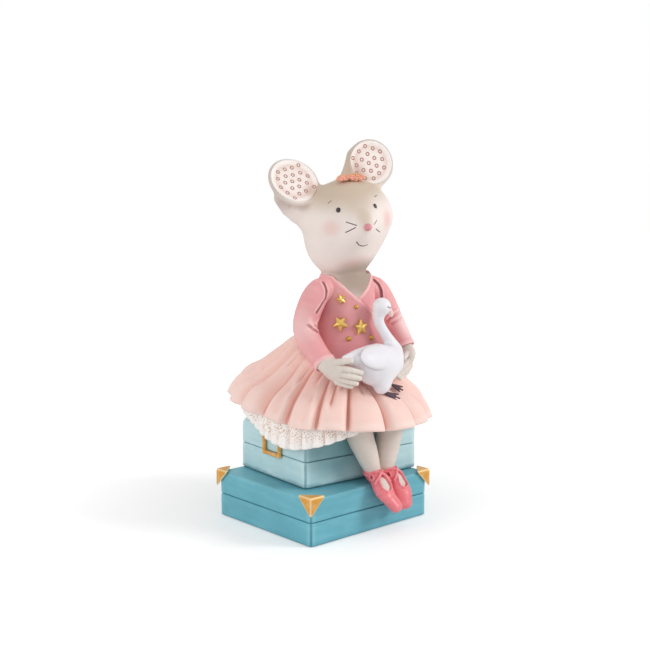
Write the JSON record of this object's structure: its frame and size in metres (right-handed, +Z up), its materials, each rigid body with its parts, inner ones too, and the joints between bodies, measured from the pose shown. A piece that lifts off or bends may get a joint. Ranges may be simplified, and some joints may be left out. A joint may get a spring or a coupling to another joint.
{
  "type": "figurine money box",
  "caption": "Money box in the shape of a seated mouse dancer holding a swan on stacked suitcases, with a coin slot at the back and a rubber stopper in the base.",
  "frame": {"origin": "under the middle of the whole figure, at the bottom centre of its box, on the surface it stands on", "axes": "+Z up; the mouse faces -Y; +X is to its left hand, along the front of the lower suitcase"},
  "size_m": [0.0944, 0.0966, 0.1774],
  "materials": {
    "lower_case_paint": "painted satin teal with fine brush marks",
    "upper_case_paint": "painted satin pale teal with fine brush marks",
    "gilt_paint": "ochre gold paint",
    "star_gilt": "metallic gold paint",
    "stopper_rubber": "moulded matt rubber",
    "skirt_paint": "matt peach pink paint, shaded darker in the pleats",
    "cardigan_paint": "matt rose paint",
    "petticoat_print": "cream paint with fine gold and rose speckles",
    "skin_paint": "matt warm grey paint, paler towards the chin",
    "ear_lining_print": "off-white paint with small rose rings",
    "slipper_paint": "coral pink satin paint",
    "nose_paint": "pink satin paint",
    "swan_paint": "white satin paint",
    "flower_paint": "coral paint with paler petals",
    "swan_beak_paint": "pale pink satin paint",
    "swan_foot_paint": "dark plum paint"
  },
  "bodies": {
    "root": {"lower_case_tray": "lower_case_paint", "lower_case_lid": "lower_case_paint", "corner_cap_front_right": "gilt_paint", "corner_cap_front_left": "gilt_paint", "corner_cap_back_right": "gilt_paint", "corner_cap_back_left": "gilt_paint", "upper_case_tray": "upper_case_paint", "upper_case_lid": "upper_case_paint", "upper_case_handle": "gilt_paint", "skirt": "skirt_paint", "petticoat": "petticoat_print", "bodice": "cardigan_paint", "head": "skin_paint", "neck": "skin_paint", "nose": "nose_paint", "ear_lining_right": "ear_lining_print", "ear_lining_left": "ear_lining_print", "ear_right": "skin_paint", "ear_left": "skin_paint", "flower_band": "flower_paint", "sleeve_right": "cardigan_paint", "sleeve_left": "cardigan_paint", "swan_body": "swan_paint", "swan_neck": "swan_paint", "swan_wing": "swan_paint", "swan_beak": "swan_beak_paint", "hand_right": "skin_paint", "hand_left": "skin_paint", "swan_foot_right": "swan_foot_paint", "swan_foot_left": "swan_foot_paint", "leg_right": "skin_paint", "leg_left": "skin_paint", "slipper_right": "slipper_paint", "slipper_left": "slipper_paint", "star_1": "star_gilt", "star_2": "star_gilt", "star_3": "star_gilt", "stud_1": "star_gilt", "stud_2": "star_gilt", "stud_3": "star_gilt"},
    "stopper": {"base_stopper": "stopper_rubber"}
  },
  "joints": [
    {"name": "stopper_pull", "type": "slide", "parent": "root", "child": "stopper", "axis": [0, 0, -1], "range_m": [0, 0.02]}
  ]
}
